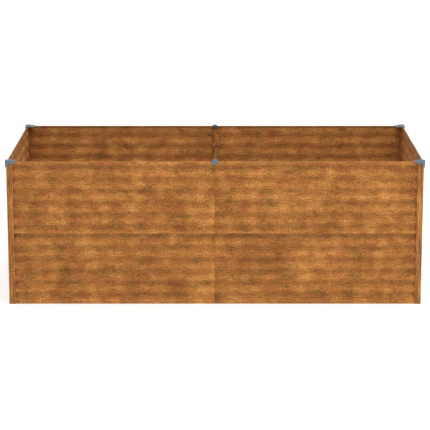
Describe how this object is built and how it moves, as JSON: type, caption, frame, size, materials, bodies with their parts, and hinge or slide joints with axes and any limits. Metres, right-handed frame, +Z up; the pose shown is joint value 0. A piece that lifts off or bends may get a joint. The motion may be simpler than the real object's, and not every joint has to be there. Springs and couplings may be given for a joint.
{
  "type": "raised planter box",
  "caption": "Long raised garden bed of rust-brown corrugated weathering-steel panels in tiers, with slim corner posts, grey rim caps and tie bars across the open, bottomless middle.",
  "frame": {"origin": "on the ground, under the centre of the box", "axes": "+X along the long walls to the right as seen from the front, +Y from the front wall to the back wall, +Z up"},
  "size_m": [2, 1, 0.709],
  "materials": {
    "weathering_steel_sheet": "matt rust patina, mottled, horizontally streaked",
    "weathering_steel_posts": "matt rust patina, vertically streaked",
    "weathering_steel_inner": "matt rust patina, darker",
    "grey_plastic_caps": "moulded, fine grained, slightly bluish grey",
    "rusted_fasteners": "rough brown rust"
  },
  "bodies": {
    "root": {"post_front_left": "weathering_steel_posts", "post_front_right": "weathering_steel_posts", "post_back_left": "weathering_steel_posts", "post_back_right": "weathering_steel_posts", "panel_front_left_upper": "weathering_steel_sheet", "panel_front_left_lower": "weathering_steel_sheet", "panel_front_right_upper": "weathering_steel_sheet", "panel_front_right_lower": "weathering_steel_sheet", "panel_back_left_upper": "weathering_steel_sheet", "panel_back_left_lower": "weathering_steel_sheet", "panel_back_right_upper": "weathering_steel_sheet", "panel_back_right_lower": "weathering_steel_sheet", "panel_side_left_upper": "weathering_steel_sheet", "panel_side_left_lower": "weathering_steel_sheet", "panel_side_right_upper": "weathering_steel_sheet", "panel_side_right_lower": "weathering_steel_sheet", "middle_strip_front": "weathering_steel_inner", "middle_strip_back": "weathering_steel_inner", "tie_bar_upper": "weathering_steel_inner", "tie_bar_lower": "weathering_steel_inner", "cap_front_left": "grey_plastic_caps", "cap_front_right": "grey_plastic_caps", "cap_back_left": "grey_plastic_caps", "cap_back_right": "grey_plastic_caps", "cap_middle_front": "grey_plastic_caps", "cap_middle_back": "grey_plastic_caps", "post_studs": "rusted_fasteners", "post_washers": "rusted_fasteners", "post_nuts": "rusted_fasteners", "seam_studs": "rusted_fasteners", "seam_washers": "rusted_fasteners", "seam_nuts": "rusted_fasteners", "tie_bolts": "rusted_fasteners", "tie_washers": "rusted_fasteners", "tie_weld_nuts": "rusted_fasteners"}
  },
  "joints": []
}
